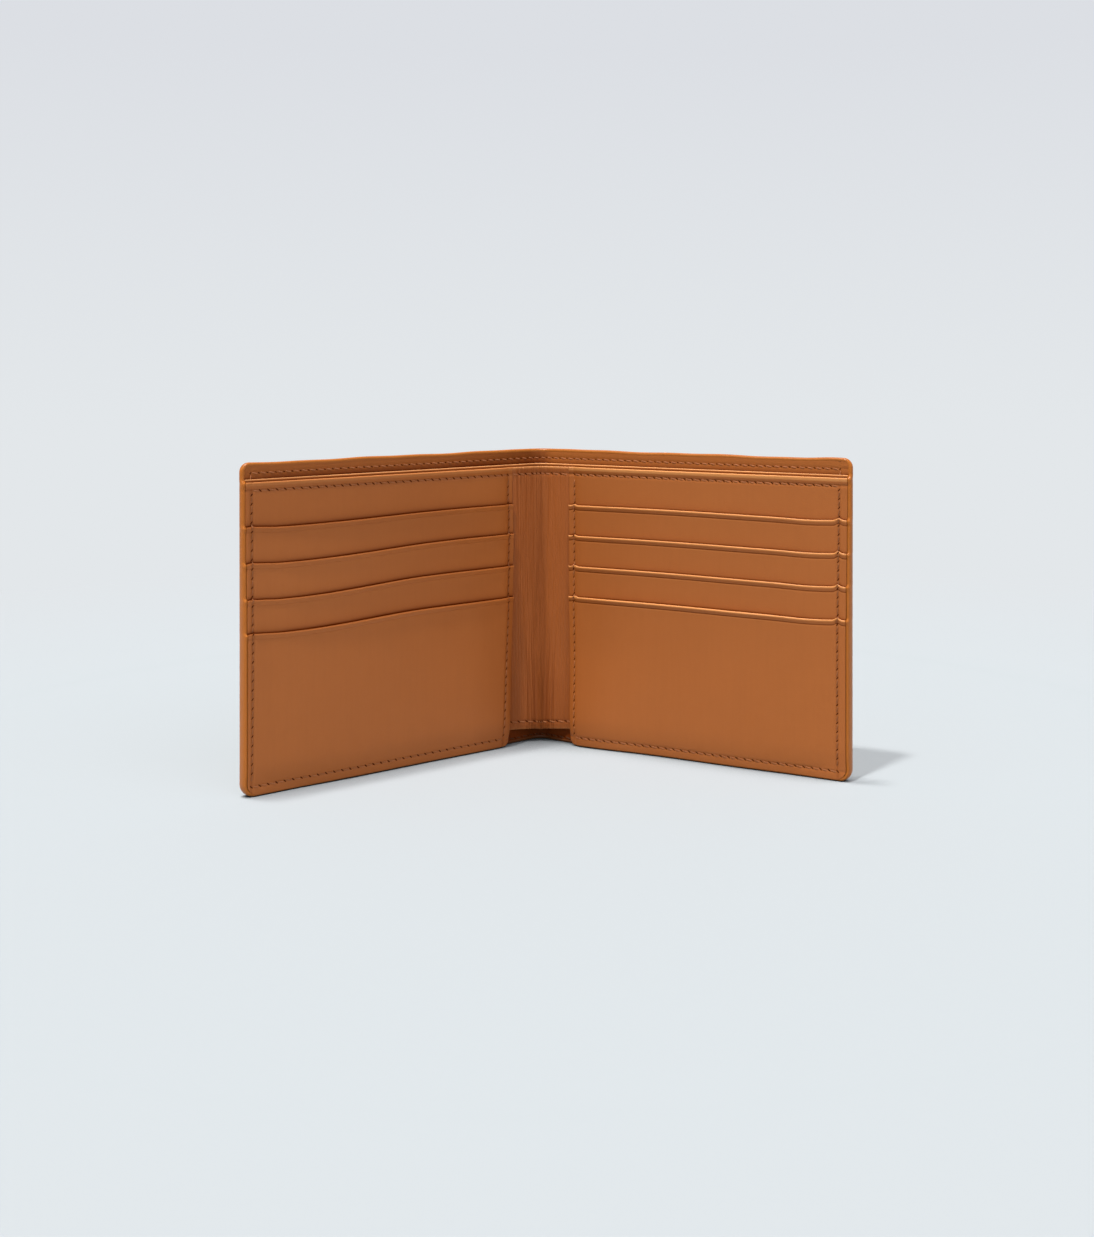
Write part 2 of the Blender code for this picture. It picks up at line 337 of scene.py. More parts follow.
def strip_depths(side, across, up):
    """The centre strip tucks under the stacks and is finely wrinkled along its middle."""
    tuck = smooth((across - lean_shift(side, up) - 3.4) / 1.5)
    free = 1.0 - smooth((across - MIDDLE) / (5.0 - MIDDLE))
    bulge = free * (1.0 + 2.4 * smooth((56.0 - up) / 56.0))
    ripple = -0.12 * wrinkles(side, across, up)
    outer = STRIP[0] - 0.1 * tuck + bulge
    inner = STRIP[1] - 0.37 * tuck + bulge + ripple
    foot = strip_foot(across)
    inner = inner - groove(up - PANEL_TOP + TOP_SEAM_DROP) - groove(up - foot - TOP_SEAM_DROP)
    inner = inner + 0.6 * turned_edge(WIDE_TURN * (PANEL_TOP - up))
    return pressed(outer, across, up), pressed(inner, across, up)


def strip_foot(across):
    """The strip's bottom edge hangs a little lower in its middle."""
    return STRIP_BOTTOM - 0.3 + 0.75 * smooth((across - MIDDLE) / (6.0 - MIDDLE))


def visible_depth(side, across, up):
    """Depth of the face that shows on a half's stack."""
    inner = panel_depths(side, across, up)[1]
    for number in range(1, POCKET_COUNT + 2):
        covered = up < slot_top(side, number, across)
        inner = np.where(covered, pocket_depths(side, number, across, up)[1], inner)
    return inner


def shaded_above(side, number, across, up):
    """Painted shade on a leaf just above the next slot's edge, stronger on the left half."""
    if number > POCKET_COUNT:
        return 0.0 * up
    above = up - slot_top(side, number + 1, across)
    near = np.exp(-np.abs(above) / SHADE_REACH[side])
    wide = np.exp(-np.maximum(above, 0.0) / 2.2) * (above > -0.5)
    return SHADE_NEAR[side] * near + SHADE_WIDE[side] * wide


# ---- mesh making

def stations(start, end, step, places=(), reach=1.6, fine=0.2):
    """Grid lines from start to end, step apart, and closer together round the given places."""
    lines = list(np.linspace(start, end, max(2, round((end - start) / step) + 1)))
    for spot in places:
        lines += list(np.arange(spot - reach, spot + reach + fine / 2, fine))
    lines = sorted(line for line in lines if start <= line <= end)
    kept = [lines[0]]
    for line in lines[1:]:
        if line - kept[-1] > fine * 0.6:
            kept.append(line)
    kept[-1] = end
    return np.array(kept)


def nose_lines(edge, inward, nose):
    """Grid lines that make a rounded edge: close together at the edge itself."""
    return [edge + inward * nose * share for share in (0.0, 0.04, 0.15, 0.35, 0.62, 1.0)]


def with_lines(lines, extra):
    """The grid lines with some more between them."""
    merged = sorted(set(np.round(np.concatenate([lines, extra]), 4)))
    low, high = lines[0], lines[-1]
    return np.array([line for line in merged if low - 1e-6 <= line <= high + 1e-6])


def grid_lines(start, end, step, nose, places=(), reach=1.2, fine=0.3, extra=(), low_nose=True):
    """A leaf's grid lines one way: even, but closer round the places and at rounded edges."""
    close = nose_lines(end, -1, nose)
    if low_nose:
        close += nose_lines(start, 1, nose)
    lines = with_lines(stations(start, end, step, places, reach, fine), close)
    return with_lines(lines, extra)


SHARP_ANGLE = math.radians(50)


def add_object(name, data):
    thing = bpy.data.objects.new(name, data)
    bpy.context.collection.objects.link(thing)
    return thing


def make_object(name, side, places, faces, marks, material):
    """One closed mesh piece, which stores each point's place on the leather, its wear with painted
    highlight, and its painted shade.

    places are the points' (across, depth, up), and marks their lightening from wear and painted
    highlight, and their painted shade.
    """
    across, depth, up = places
    mesh = bpy.data.meshes.new(name)
    mesh.from_pydata([tuple(point) for point in place(side, across, depth, up)], [], faces)
    spot = mesh.attributes.new("spot", "FLOAT_VECTOR", "POINT")
    spot.data.foreach_set("vector", np.stack([across, up, depth], axis=-1).ravel())
    for mark, values in zip(("worn_and_highlit", "painted_shade"), marks):
        attribute = mesh.attributes.new(mark, "FLOAT", "POINT")
        attribute.data.foreach_set("value", np.asarray(values, np.float32).ravel())
    shape = bmesh.new()
    shape.from_mesh(mesh)
    loose = [vertex for vertex in shape.verts if not vertex.link_faces]
    bmesh.ops.delete(shape, geom=loose, context="VERTS")
    bmesh.ops.recalc_face_normals(shape, faces=shape.faces)
    shape.to_mesh(mesh)
    shape.free()
    mesh.shade_smooth()
    mesh.set_sharp_from_angle(angle=SHARP_ANGLE)
    mesh.materials.append(material)
    piece = add_object(name, mesh)
    return piece


def outer_edge_distance(grid_across, grid_up, edges):
    """How far each point of a grid is from the nearest of the named edges."""
    distances = {"spine": grid_across - grid_across[0, 0], "rim": grid_across[0, -1] - grid_across,
                 "foot": grid_up - grid_up[0, 0], "top": grid_up[-1, 0] - grid_up}
    return np.minimum.reduce([distances[edge] for edge in edges])


def round_corner(across, up, end, level, radius, way_across, way_up):
    """Bends one corner of the grid round: squares about the corner's centre become circles."""
    beside = way_across * (across - end) + radius
    beyond = way_up * (up - level) + radius
    inside = (beside > 1e-6) & (beyond > 1e-6)
    size = np.where(inside, np.maximum(beside, beyond), 1.0)
    low_angle = (math.pi / 4) * beyond / size
    high_angle = math.pi / 2 - (math.pi / 4) * beside / size
    angle = np.where(beside >= beyond, low_angle, high_angle)
    round_across = end + way_across * (size * np.cos(angle) - radius)
    round_up = level + way_up * (size * np.sin(angle) - radius)
    return np.where(inside, round_across, across), np.where(inside, round_up, up)


def round_foot(side, across, up):
    """Rounds the two bottom corners of a leaf of the stack."""
    across, up = round_corner(across, up, STACK_END[side], LEAF_INSET, BOTTOM_CORNER, 1.0, -1.0)
    return round_corner(across, up, STACK_START[side], LEAF_INSET, INNER_CORNER, -1.0, -1.0)


def leaf(name, side, lines, depths, edges, nose, material, move, painted_light_and_wear=None, keep=None):
    """A leaf of leather between two depths, with rounded edges, over a grid of lines.

    lines holds the grid's lines across and up, depths(across, up) gives the outward and the
    inward face, move(across, up) the final places, the marking function the lightening from wear and
    painted highlight and the painted shade; keep(across, up) is true where the leaf has leather.
    """
    grid_across, grid_up = np.meshgrid(*lines)
    distance = outer_edge_distance(grid_across, grid_up, edges)
    swell = np.sqrt(1.0 - np.square(1.0 - np.clip(distance / nose, 0.0, 1.0)))
    across, up = move(grid_across, grid_up)
    outer, inner = depths(across, up)
    middle, half = (outer + inner) / 2, (inner - outer) / 2 * swell
    worn_and_highlit, painted_shade = (0.0 * up, 0.0 * up) if painted_light_and_wear is None else painted_light_and_wear(across, up)
    rows, columns = grid_across.shape
    count = rows * columns
    front = np.arange(count).reshape(rows, columns)
    back = np.where(swell < 1e-6, front, front + count)
    kept = np.ones((rows - 1, columns - 1), bool)
    if keep is not None:
        kept = keep((grid_across[1:, 1:] + grid_across[:-1, :-1]) / 2,
                    (grid_up[1:, 1:] + grid_up[:-1, :-1]) / 2)
    faces = []
    border = {}
    for i, j in zip(*np.nonzero(kept)):
        corners = [(i, j), (i, j + 1), (i + 1, j + 1), (i + 1, j)]
        faces.append([int(front[c]) for c in corners])
        faces.append([int(back[c]) for c in reversed(corners)])
        for a, b in zip(corners, corners[1:] + corners[:1]):
            key = (min(a, b), max(a, b))
            border[key] = border.get(key, 0) + 1
    for (a, b), uses in border.items():
        if uses == 1:
            ring = list(dict.fromkeys(int(end) for end in (front[a], front[b], back[b], back[a])))
            if len(ring) > 2:
                faces.append(ring)
    depth = np.concatenate([(middle + half).ravel(), (middle - half).ravel()])
    across, up, worn_and_highlit, painted_shade = [np.tile(part.ravel(), 2) for part in (across, up, worn_and_highlit, painted_shade)]
    return make_object(name, side, (across, depth, up), faces, (worn_and_highlit, painted_shade), material)


def tube_faces(first, count, sides):
    """Faces of one closed tube, given the number of its first point, its rings and its sides."""
    last = first + (count - 1) * sides
    faces = []
    for low in range(first, last, sides):
        high = low + sides
        for j in range(sides):
            k = (j + 1) % sides
            faces.append([low + j, low + k, high + k, high + j])
    return faces + [list(range(first, first + sides)), list(range(last, last + sides))]


def sweep(name, side, rings, material, painted_shade):
    """A closed tube through rings of (across, depth, up) points."""
    rings = np.asarray(rings, float)
    faces = tube_faces(0, *rings.shape[:2])
    across, depth, up = rings.reshape(-1, 3).T
    marks = (0.0 * up, painted_shade(across, up))
    return make_object(name, side, (across, depth, up), faces, marks, material)


# ---- materials

# Colours: calfskin and the deeper tone of its mottling, the lighter tone of worn edges and painted
# highlights;
# thread, stitch holes and edge paint, with the deep tones of painted shade
TAN = ((0.388, 0.114, 0.0210, 1.0), (0.364, 0.105, 0.0190, 1.0))
# The centre strip is the panel's own calfskin, darker here as painted shade for its place deep between
# the stacks
SHADED_STRIP_TAN = ((0.330, 0.087, 0.0135, 1.0), (0.298, 0.076, 0.0115, 1.0))
LINING_TAN = ((0.35, 0.099, 0.013, 1.0), (0.32, 0.086, 0.011, 1.0))
WORN_AND_HIGHLIT_TAN = (0.62, 0.26, 0.075, 1.0)
WORN_COVER = (0.56, 0.20, 0.045, 1.0)
WORN_LINING = (0.66, 0.28, 0.09, 1.0)
THREAD_TONES = ((0.33, 0.110, 0.034, 1.0), (0.45, 0.165, 0.062, 1.0))
THREAD_SHADE_TONE = (0.02, 0.006, 0.002, 1.0)
HOLE_TONES = ((0.055, 0.009, 0.001, 1.0), (0.085, 0.016, 0.002, 1.0))
PAINT_TONES = ((0.405, 0.118, 0.010, 1.0), (0.365, 0.102, 0.008, 1.0))
EDGE_SHADE_TONE = (0.05, 0.012, 0.003, 1.0)
BLACK = (0.0, 0.0, 0.0, 1.0)
NOISE_ROUGHNESS = 0.55


def new_material(name):
    material = bpy.data.materials.new(name)
    material.use_nodes = True
    tree = material.node_tree
    return material, tree, tree.nodes["Principled BSDF"]


def feed(tree, node, inputs):
    """Sets or links a node's inputs, which are given by name or by number."""
    for name, value in inputs.items():
        socket = node.inputs[name]
        if isinstance(value, bpy.types.NodeSocket):
            tree.links.new(value, socket)
        else:
            socket.default_value = value


def new_node(tree, kind, inputs, **settings):
    node = tree.nodes.new("ShaderNode" + kind)
    for name, value in settings.items():
        setattr(node, name, value)
    feed(tree, node, inputs)
    return node


def stored(tree, name, output="Fac"):
    """What a mesh holds for each of its points, by name: its spot, its lightening from wear and painted
    highlight, and its painted shade.
    """
    return new_node(tree, "Attribute", {}, attribute_name=name).outputs[output]


def mapped(tree, scale=(1.0, 1.0, 1.0)):
    """The leather's own millimetres, scaled."""
    inputs = {"Vector": stored(tree, "spot", "Vector"), "Scale": scale}
    return new_node(tree, "Mapping", inputs).outputs["Vector"]


def noise(tree, vector, scale, detail=3.0):
    inputs = {"Vector": vector, "Scale": scale, "Detail": detail, "Roughness": NOISE_ROUGHNESS}
    return new_node(tree, "TexNoise", inputs).outputs["Fac"]


def mix(tree, factor, first, second):
    inputs = {"Factor": factor, 6: first, 7: second}
    return new_node(tree, "Mix", inputs, data_type="RGBA").outputs[2]


def bump(tree, height, distance, strength, below=None):
    inputs = {"Height": height, "Distance": distance * MM, "Strength": strength}
    if below is not None:
        inputs["Normal"] = below
    return new_node(tree, "Bump", inputs).outputs["Normal"]


def remap(tree, value, low, high, to_low, to_high):
    inputs = {"Value": value, "From Min": low, "From Max": high, "To Min": to_low, "To Max": to_high}
    return new_node(tree, "MapRange", inputs).outputs["Result"]


def leather(name, tones, worn_and_highlit, roughness=0.46, grain=0.035, wrinkle=0.0):
    """Calfskin: soft mottling, pores and fine grain; lighter where worn and where a highlight is
    painted, and deeper with less sheen where shade is painted.
    """
    material, tree, shader = new_material(name)
    colour, shaded = tones
    plain = mapped(tree)
    mottle = remap(tree, noise(tree, plain, 0.045), 0.3, 0.7, 0.0, 0.4)
    tone = mix(tree, mottle, colour, shaded)
    cloud = remap(tree, noise(tree, plain, 0.6), 0.35, 0.75, 0.0, 0.15)
    tone = mix(tree, cloud, tone, shaded)
    streak = noise(tree, mapped(tree, (0.9, 0.05, 1.0)), 1.0)
    deeper = tuple(0.8 * part for part in shaded[:3]) + (1.0,)
    tone = mix(tree, remap(tree, streak, 0.4, 0.8, 0.0, 0.12), tone, deeper)
    # Lighter where the mesh marks wear and painted highlight
    tone = mix(tree, stored(tree, "worn_and_highlit"), tone, worn_and_highlit)
    painted_shade = stored(tree, "painted_shade")
    # Painted shade: a deep brown where the mesh marks shade
    tone = mix(tree, painted_shade, tone, (0.30 * shaded[0], 0.15 * shaded[1], 0.0, 1.0))
    pores = new_node(tree, "TexVoronoi", {"Vector": plain, "Scale": 2.6}).outputs["Distance"]
    normal = bump(tree, pores, grain, 0.35)
    normal = bump(tree, noise(tree, plain, 5.0, 4.0), grain * 1.2, 0.5, normal)
    normal = bump(tree, noise(tree, plain, 0.12, 2.0), 1.2, 0.07, normal)
    if wrinkle:
        creases = noise(tree, mapped(tree, (2.1, 0.06, 1.0)), 1.0)
        normal = bump(tree, creases, wrinkle, 1.0, normal)
    rough = remap(tree, noise(tree, plain, 0.9), 0.3, 0.7, roughness - 0.05, roughness + 0.06)
    # Painted shade also dulls the sheen
    gloss = remap(tree, painted_shade, 0.0, 1.0, 0.27, 0.04)
    feed(tree, shader, {"Base Color": tone, "Normal": normal, "Roughness": rough,
                        "Specular IOR Level": gloss})
    return material


def thread_material():
    """Twisted thread: fine slanted plies, darkened where the mesh marks painted shade."""
    material, tree, shader = new_material("thread")
    inputs = {"Vector": mapped(tree), "Scale": 1.6, "Distortion": 1.0}
    plies = new_node(tree, "TexWave", inputs).outputs["Fac"]
    tone = mix(tree, stored(tree, "painted_shade"), mix(tree, plies, *THREAD_TONES), THREAD_SHADE_TONE)
    feed(tree, shader, {"Base Color": tone, "Normal": bump(tree, plies, 0.05, 0.8),
                        "Roughness": 0.62, "Specular IOR Level": 0.2})
    return material


def hole_material():
    """The inside of a stitch hole: raw leather in shadow."""
    material, tree, shader = new_material("stitch_hole")
    tone = mix(tree, noise(tree, mapped(tree), 3.0, 2.0), *HOLE_TONES)
    feed(tree, shader, {"Base Color": tone, "Roughness": 0.9, "Specular IOR Level": 0.05})
    return material


def edge_material():
    """Painted edge: smoother and more orange than the leather, with faint brush waves."""
    material, tree, shader = new_material("edge_paint")
    plain = mapped(tree, (1.0, 1.0, 0.6))
    tone = mix(tree, noise(tree, plain, 0.35, 4.0), *PAINT_TONES)
    # Painted shade where the mesh marks it: in the hollow under the strip and along the top
    tone = mix(tree, stored(tree, "painted_shade"), tone, EDGE_SHADE_TONE)
    normal = bump(tree, noise(tree, plain, 0.8, 4.0), 0.12, 0.4)
    feed(tree, shader, {"Base Color": tone, "Normal": normal, "Roughness": 0.40,
                        "Specular IOR Level": 0.27})
    return material


POCKET_LEATHER = leather("pocket_calfskin", TAN, WORN_AND_HIGHLIT_TAN)
STRIP_LEATHER = leather("strip_calfskin", SHADED_STRIP_TAN, WORN_AND_HIGHLIT_TAN, roughness=0.5, wrinkle=0.3)
COVER_LEATHER = leather("cover_calfskin", TAN, WORN_COVER, roughness=0.42, grain=0.05)
LINING_LEATHER = leather("lining_calfskin", LINING_TAN, WORN_LINING, roughness=0.55)
THREAD = thread_material()
HOLE = hole_material()
EDGE_PAINT = edge_material()


# ---- leaves

def bend_at_fold(piece, side):
    """Works out where the piece would bend, past the spine's middle and just past the fold, which
    nothing then uses, and bakes the piece's transform into its mesh.
    """
    start = place(side, MIDDLE + BEND_START, 0.0, 0.0)
    end = place(side, BEND_END, 0.0, 0.0)
    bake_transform(piece)


def rim_wave(side, across, up):
    """How far the cover's top edge stands off a straight line, fading out downwards."""
    wave = 0.10 * np.sin(across * 0.13 + 0.7) + 0.07 * np.sin(across * 0.31 + 2.0)
    crest = 0.35 * bell(across - 93.0, 6.0) if side > 0 else 0.0
    wave = RIM_LIFT + (wave + crest) * smooth((across + 4.0) / 12.0)
    return wave * smooth((up - WAVE_FOOT) / WAVE_RISE)


def sheet_lines(side, nose, steps, rows, extra=()):
    """Grid lines both ways of a full leaf, from the spine's middle to just inside the rim."""
    end, top = HALF_WIDTH[side] - LEAF_INSET, HEIGHT - LEAF_INSET
    return (grid_lines(MIDDLE, end, steps[0], nose, [OUTER_SEAM[side]],
                       extra=np.arange(MIDDLE, 3, 0.45), low_nose=False),
            grid_lines(LEAF_INSET, top, steps[1], nose, rows, extra=extra))


def sheet_move(side, across, up):
    """Rounds the corners of a full leaf and gives its top the edge's slight wave."""
    end, top = HALF_WIDTH[side] - LEAF_INSET, HEIGHT - LEAF_INSET
    across, up = round_corner(across, up, end, top, TOP_CORNER, 1.0, 1.0)
    across, up = round_corner(across, up, end, LEAF_INSET, BOTTOM_CORNER, 1.0, -1.0)
    return across, up + rim_wave(side, across, up)


def cover_leaf(side):
    """The outer cover of a half and of its part of the spine."""
    lines = sheet_lines(side, SHELL_NOSE, (1.6, 2.0), [HEIGHT - COVER_SEAM_DROP, BOTTOM_SEAM])

    def depths(across, up):
        rows = groove(up - HEIGHT + COVER_SEAM_DROP) + groove(up - BOTTOM_SEAM)
        rows = np.maximum(rows, groove(across - OUTER_SEAM[side]))
        return COVER[0] + rows, COVER[1] + 0.0 * up

    piece = leaf("shell_" + SIDE_NAME[side], side, lines, depths, ("rim", "foot", "top"),
                 SHELL_NOSE, COVER_LEATHER, partial(sheet_move, side))
    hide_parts("cover_" + SIDE_NAME[side], "cover_spine")
    bend_at_fold(piece, side)


def lining_leaf(side):
    """The cover's lining: shaded above the divider and in the hollow under the centre strip."""
    shaded = [*np.arange(89.5, 92.4, 0.2), *np.arange(3.0, 6.0, 0.4)]
    rows = [HEIGHT - COVER_SEAM_DROP, FOOT_SEAM]
    lines = sheet_lines(side, LINING_NOSE, (1.8, 2.4), rows, shaded)

    def depths(across, up):
        row = groove(up - HEIGHT + COVER_SEAM_DROP)
        row = np.maximum(row, groove(across - OUTER_SEAM[side]) * smooth((up - 88.0) / 4.0))
        return COVER[1] - 0.05 + 0.0 * up, LINING[1] - row

    # Painted shade above the divider, deeper towards the spine, over all of the left half and below the
    # top row of stitches, and in the hollow under the centre strip
    def painted_light_and_wear(across, up):
        above = np.maximum(up - DIVIDER_TOP, 0.0)
        painted_shade = 0.55 * np.exp(-above / 0.3) + 0.2 * np.exp(-above / 1.6)
        reach = 36.0 if side < 0 else MIDDLE + 6.0
        painted_shade = painted_shade + 0.42 * smooth((reach - across) / (reach - MIDDLE - 1.0)) + 0.10 * (side < 0)
        low = smooth((HEIGHT - COVER_SEAM_DROP - up) / 0.6)
        if side < 0:
            inwards = 0.5 + 0.5 * smooth((OUTER_SEAM[side] - across) / 9.0)
            painted_shade = painted_shade + 0.34 * low * inwards * (0.2 + 0.8 * smooth(across / 22.0))
        else:
            painted_shade = painted_shade + 0.08 * low
        return 0.0 * up, np.maximum(painted_shade * (up > 60.0), 1.1 * hollow_shade(across, up))

    piece = leaf("lining_leaf_" + SIDE_NAME[side], side, lines, depths, ("rim", "foot", "top"),
                 LINING_NOSE, LINING_LEATHER, partial(sheet_move, side), painted_light_and_wear)
    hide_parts("lining_" + SIDE_NAME[side], "lining_spine")
    bend_at_fold(piece, side)


def divider_leaf(side):
    """The bill compartment's divider, whose top edge shows as a light lip."""
    end = STACK_END[side]
    lines = (grid_lines(MIDDLE, end, 1.8, DIVIDER_NOSE, extra=np.arange(MIDDLE, 8, 0.45),
                        low_nose=False),
             grid_lines(LEAF_INSET, DIVIDER_TOP, 3.0, DIVIDER_NOSE,
                        extra=DIVIDER_TOP - np.arange(0.2, 2.0, 0.15), low_nose=False))

    def depths(across, up):
        outer = pressed(DIVIDER[0] + 0.0 * up, across, up)
        return outer, pressed(DIVIDER[1] + 0.0 * up, across, up)

    def move(across, up):
        across, up = round_corner(across, up, end, LEAF_INSET, BOTTOM_CORNER, 1.0, -1.0)
        low = STRIP_BOTTOM + 0.3 - LEAF_INSET
        lift = low * (1.0 - smooth((across - 5.0) / 1.5))
        return across, up + lift * smooth((12.0 - up) / 12.0)

    # A lighter lip along the top edge; painted shade on the rest, where the divider lies behind the
    # panel
    def painted_light_and_wear(across, up):
        below = DIVIDER_TOP - up
        return 0.9 * smooth((0.4 - below) / 0.2), 0.6 * smooth((below - 0.35) / 0.25)

    piece = leaf("divider_leaf_" + SIDE_NAME[side], side, lines, depths, ("rim", "top"),
                 DIVIDER_NOSE, LINING_LEATHER, move, painted_light_and_wear)
    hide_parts("bill_divider_" + SIDE_NAME[side], "bill_divider_spine")
    bend_at_fold(piece, side)


def strip_leaf(side):
    """The centre strip between the stacks, which is the panel's bare and wrinkled middle."""
    rows = [PANEL_TOP - TOP_SEAM_DROP, STRIP_BOTTOM + TOP_SEAM_DROP]
    lines = (stations(MIDDLE, STRIP_END, 0.15),
             grid_lines(STRIP_BOTTOM, PANEL_TOP, 2.0, STRIP_NOSE, rows, fine=0.25,
                        extra=PANEL_TOP - np.arange(0.1, 2.2, 0.14)))

    def move(across, up):
        fall = (strip_foot(across) - STRIP_BOTTOM) * smooth((30.0 - up) / 25.0)
        spread = smooth((across - MIDDLE) / (STRIP_END - MIDDLE))
        return across + lean_shift(side, up) * spread, up + fall

    # Lighter along the top and foot edges; painted shade over the whole strip, deeper along its middle
    # fold and in the fine creases, and towards the floor, more so on the right half
    def painted_light_and_wear(across, up):
        worn_and_highlit = 0.5 * smooth((up - PANEL_TOP + 0.9) / 0.5)
        middle = MIDDLE + 4.0 * smooth((80.0 - up) / 60.0)
        fold = 0.05 + 0.24 * bell(np.maximum(across - middle, 0.0), 2.2)
        fold = fold * (0.3 + 0.7 * smooth((86.0 - up) / 20.0))
        fold = fold + 0.32 * wrinkles(side, across, up)
        fold = fold + (0.13 if side < 0 else 0.20) * smooth((36.0 - up) / 30.0)
        return worn_and_highlit + 0.2 * smooth((strip_foot(across) + 0.7 - up) / 0.5), fold

    piece = leaf("centre_strip_" + SIDE_NAME[side], side, lines, partial(strip_depths, side),
                 ("foot", "top"), STRIP_NOSE, STRIP_LEATHER, move, painted_light_and_wear)
    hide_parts("centre_strip")
    bend_at_fold(piece, side)


def stack_lines(side, nose):
    """Grid lines across a leaf of the stack, closer round its two upright rows of stitches."""
    rows = [6.6, 97.2]
    return grid_lines(STACK_START[side], STACK_END[side], 1.6, nose, rows, reach=1.9, fine=0.24)


def panel_leaf(side):
    """The inner panel behind a half's pockets."""
    lines = (stack_lines(side, PANEL_NOSE),
             grid_lines(LEAF_INSET, PANEL_TOP, 4.0, PANEL_NOSE, [SLOT_TOP + 0.4], reach=2.4,
                        fine=0.2, extra=PANEL_TOP - np.arange(0.1, 4.2, 0.14), low_nose=False))

    def move(across, up):
        across, up = round_foot(side, across, up)
        return across + lean(side, across, up), up

    # Lighter along the top edge, with a painted highlight there that is stronger on the right half;
    # painted shade in the crease below it, above the first slot, towards the spine and at the outer end
    def painted_light_and_wear(across, up):
        below = PANEL_TOP - up
        worn_and_highlit = (0.25 + 0.5 * (side > 0)) * smooth((1.3 - below) / 0.5)
        painted_shade = 0.2 * bell(below - CREASE / WIDE_TURN, 0.25) + shaded_above(side, 0, across, up)
        painted_shade = painted_shade + spine_shade(side, across, up)
        return worn_and_highlit, painted_shade + end_shade(side, across)

    piece = leaf("panel_leaf_" + SIDE_NAME[side], side, lines, partial(panel_depths, side),
                 ("spine", "rim", "top"), PANEL_NOSE, POCKET_LEATHER, move, painted_light_and_wear)
    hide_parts("inner_panel_" + SIDE_NAME[side])
    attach(piece, SIDE_NAME[side] + "_half")


def end_shade(side, across):
    """Painted shade at the stack's outer end, where it meets the rim."""
    return END_SHADE[side] * smooth((across - STACK_END[side] + 0.3) / 0.25)


def spine_shade(side, across, up):
    """Painted shade: towards the spine low down, over all of the right half and more towards its spine,
    over the left half's upper part away from the spine, and along the upright seams.
    """
    rows = column_shade(side, across, up)
    if side < 0:
        high = 0.09 * smooth((across - 16.0) / 30.0) * smooth((up - 66.0) / 12.0)
        low = 0.19 * smooth((26.0 - across) / 20.0) * smooth((62.0 - up) / 50.0)
        return rows + high + low
    low = 0.10 * smooth((24.0 - across) / 18.0) * smooth((40.0 - up) / 30.0)
    return rows + 0.07 + 0.10 * smooth((34.0 - across) / 30.0) + low


def column_shade(side, across, up):
    """Painted shade in the grooves of the upright rows of stitches, but not by the spine on the right
    half.
    """
    shade = bell(across - outer_row(side, up), 0.45)
    if side < 0:
        shade = shade + bell(across - inner_row(side, up), 0.45)
    return 0.20 * shade * (up < PANEL_TOP - TOP_SEAM_DROP + 0.5)


def pocket_leaf(side, number):
    """A card pocket, T-shaped where the next pockets hide it, or the full front pocket."""
    front = number > POCKET_COUNT
    top = SLOT_TOP - (number - 1) * SLOT_PITCH
    foot = LEAF_INSET if front else top - POCKET_DROP
    start = STACK_START[side]
    spots = [BOTTOM_SEAM] if front else [top - SLOT_PITCH + 0.3]
    lines = (stack_lines(side, POCKET_NOSE),
             grid_lines(foot, top, 3.0, POCKET_NOSE, spots, reach=1.3 if front else 2.6,
                        fine=0.2, extra=top - np.arange(0.08, 2.4, 0.11), low_nose=front))
    edges = ("spine", "rim", "foot", "top") if front else ("spine", "rim", "top")

    def move(across, up):
        if front:
            across, up = round_foot(side, across, up)
        sag = slot_top(side, number, across) - top
        up = up + sag * np.exp(-np.square((top - up) / 16.0))
        return across + lean(side, across, up), up

    # Painted highlight along the right half's slot edges and just below their creases; painted shade in
    # the creases, along the left half's slot edges, above the next slot, towards the spine and at the
    # outer end
    def painted_light_and_wear(across, up):
        below = slot_top(side, number, across) - up
        worn_and_highlit = PAINTED_SLOT_HIGHLIGHT[side] * (smooth((0.72 - below) / 0.35) + 0.25 * bell(below - 1.95, 0.12))
        painted_shade = (0.1 + 0.65 * (side > 0)) * bell(below - CREASE, 0.16)
        painted_shade = painted_shade + 0.45 * (side < 0) * smooth((0.2 - below) / 0.14)
        painted_shade = painted_shade + shaded_above(side, number, across, up) + spine_shade(side, across, up)
        return worn_and_highlit, painted_shade + end_shade(side, across)

    def keep(across, up):
        band = up > top - BAND_HEIGHT
        tongue = (across > start + TONGUE_INSET) & (across < STACK_END[side] - TONGUE_INSET)
        return band | tongue

    name = "front_pocket_leaf_" if front else "card_pocket_leaf_%d_" % number
    piece = leaf(name + SIDE_NAME[side], side, lines, partial(pocket_depths, side, number), edges,
                 POCKET_NOSE, POCKET_LEATHER, move, painted_light_and_wear, None if front else keep)
    node = "front_pocket_" if front else "card_pocket_%d_" % number
    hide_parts(node + SIDE_NAME[side])
    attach(piece, SIDE_NAME[side] + "_half")


# ---- painted rim

# The rim's profile as (inset from the edge, share of its depth): outer face, nose and inner face
RIM_OUTER = [(1.3, -0.8)]
RIM_ROUND = 0.55
RIM_TURNS = np.radians(np.arange(-80, 81, 20))
RIM_INNER = [(0.8, 0.99), (1.0, 0.93), (1.3, 0.7)]
RIM_PROUD = 0.06


def rim_corner(centre_across, centre_up, radius, degrees):
    """Stations round a corner of the rim."""
    ways = [(math.cos(angle), math.sin(angle)) for angle in np.radians(degrees)]
    return [(centre_across + radius * way[0], centre_up + radius * way[1], *way) for way in ways]


